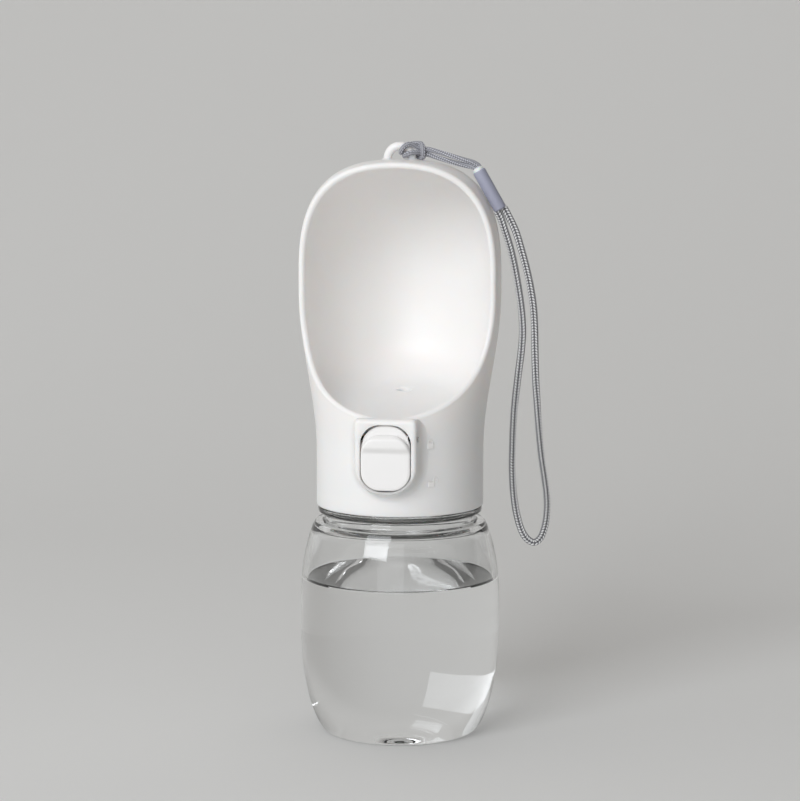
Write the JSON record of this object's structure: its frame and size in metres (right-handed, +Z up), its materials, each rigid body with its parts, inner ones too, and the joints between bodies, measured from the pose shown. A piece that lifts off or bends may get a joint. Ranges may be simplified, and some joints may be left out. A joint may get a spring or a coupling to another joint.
{
  "type": "dog travel water bottle",
  "caption": "Clear drinking bottle for walks with a dog: a screw-on head opens into a tall scooped bowl, a push button on its front lets water in, and a wrist strap hangs from its top.",
  "frame": {"origin": "centre of the bottle's foot, on the surface that it stands on", "axes": "+Z up along the bottle's axis, -Y towards the button and the bowl's open front, +X to the right as seen from the front"},
  "size_m": [0.0907, 0.073, 0.2144],
  "materials": {
    "clear_bottle": "clear, glossy",
    "silicone": "matt, translucent white",
    "white_shell": "satin white",
    "natural_plastic": "as moulded",
    "valve_plastic": "as moulded",
    "white_button": "satin white",
    "steel": "bright",
    "black_rubber": "matt",
    "grey_cord": "fine braid",
    "grey_sleeve": "smooth, soft",
    "black_white_braid": "coarse two-colour braid"
  },
  "bodies": {
    "bottle": {"bottle_body": "clear_bottle"},
    "seal": {"neck_gasket": "silicone"},
    "head": {"head_shell": "white_shell", "thread_insert": "natural_plastic", "valve_housing": "valve_plastic", "valve_screws": "steel", "stem_gland": "valve_plastic", "stem_seal": "black_rubber", "inlet_seal": "black_rubber", "outlet_grommet": "silicone", "end_cap": "valve_plastic", "end_cap_seal": "black_rubber", "return_spring": "steel", "pivot_pin": "steel", "hitch_cord": "grey_cord", "cord_sleeve": "grey_sleeve", "wrist_strap": "black_white_braid"},
    "rocker": {"button_carrier": "white_button"},
    "button": {"button_cap": "white_button"},
    "plunger": {"valve_plunger": "valve_plastic", "poppet_seal": "black_rubber"}
  },
  "joints": [
    {"name": "head_lift", "type": "slide", "parent": "bottle", "child": "seal", "axis": [0, 0, 1], "range_m": [0, 0.0201]},
    {"name": "head_turn", "type": "hinge", "parent": "seal", "child": "head", "pos_m": [0, 0, 0.0951], "axis": [0, 0, 1], "range_deg": [0, 1800]},
    {"name": "button_press", "type": "hinge", "parent": "head", "child": "rocker", "pos_m": [0, -0.0323, 0.1116], "axis": [1, 0, 0], "range_deg": [0, 8], "stiffness_Nm_per_rad": 0.08, "springref_deg": -1.15},
    {"name": "button_lock", "type": "slide", "parent": "rocker", "child": "button", "axis": [0, 0, 1], "range_m": [0, 0.003]},
    {"name": "valve_slide", "type": "slide", "parent": "head", "child": "plunger", "axis": [0, 1, 0], "range_m": [0, 0.00113], "deforming": ["return_spring"]}
  ],
  "couplings": [
    {"joint": "head_lift", "follows": "head_turn", "m_per_rad": 0.00063662},
    {"joint": "button_press", "follows": "valve_slide", "rad_per_m": 123.46}
  ]
}
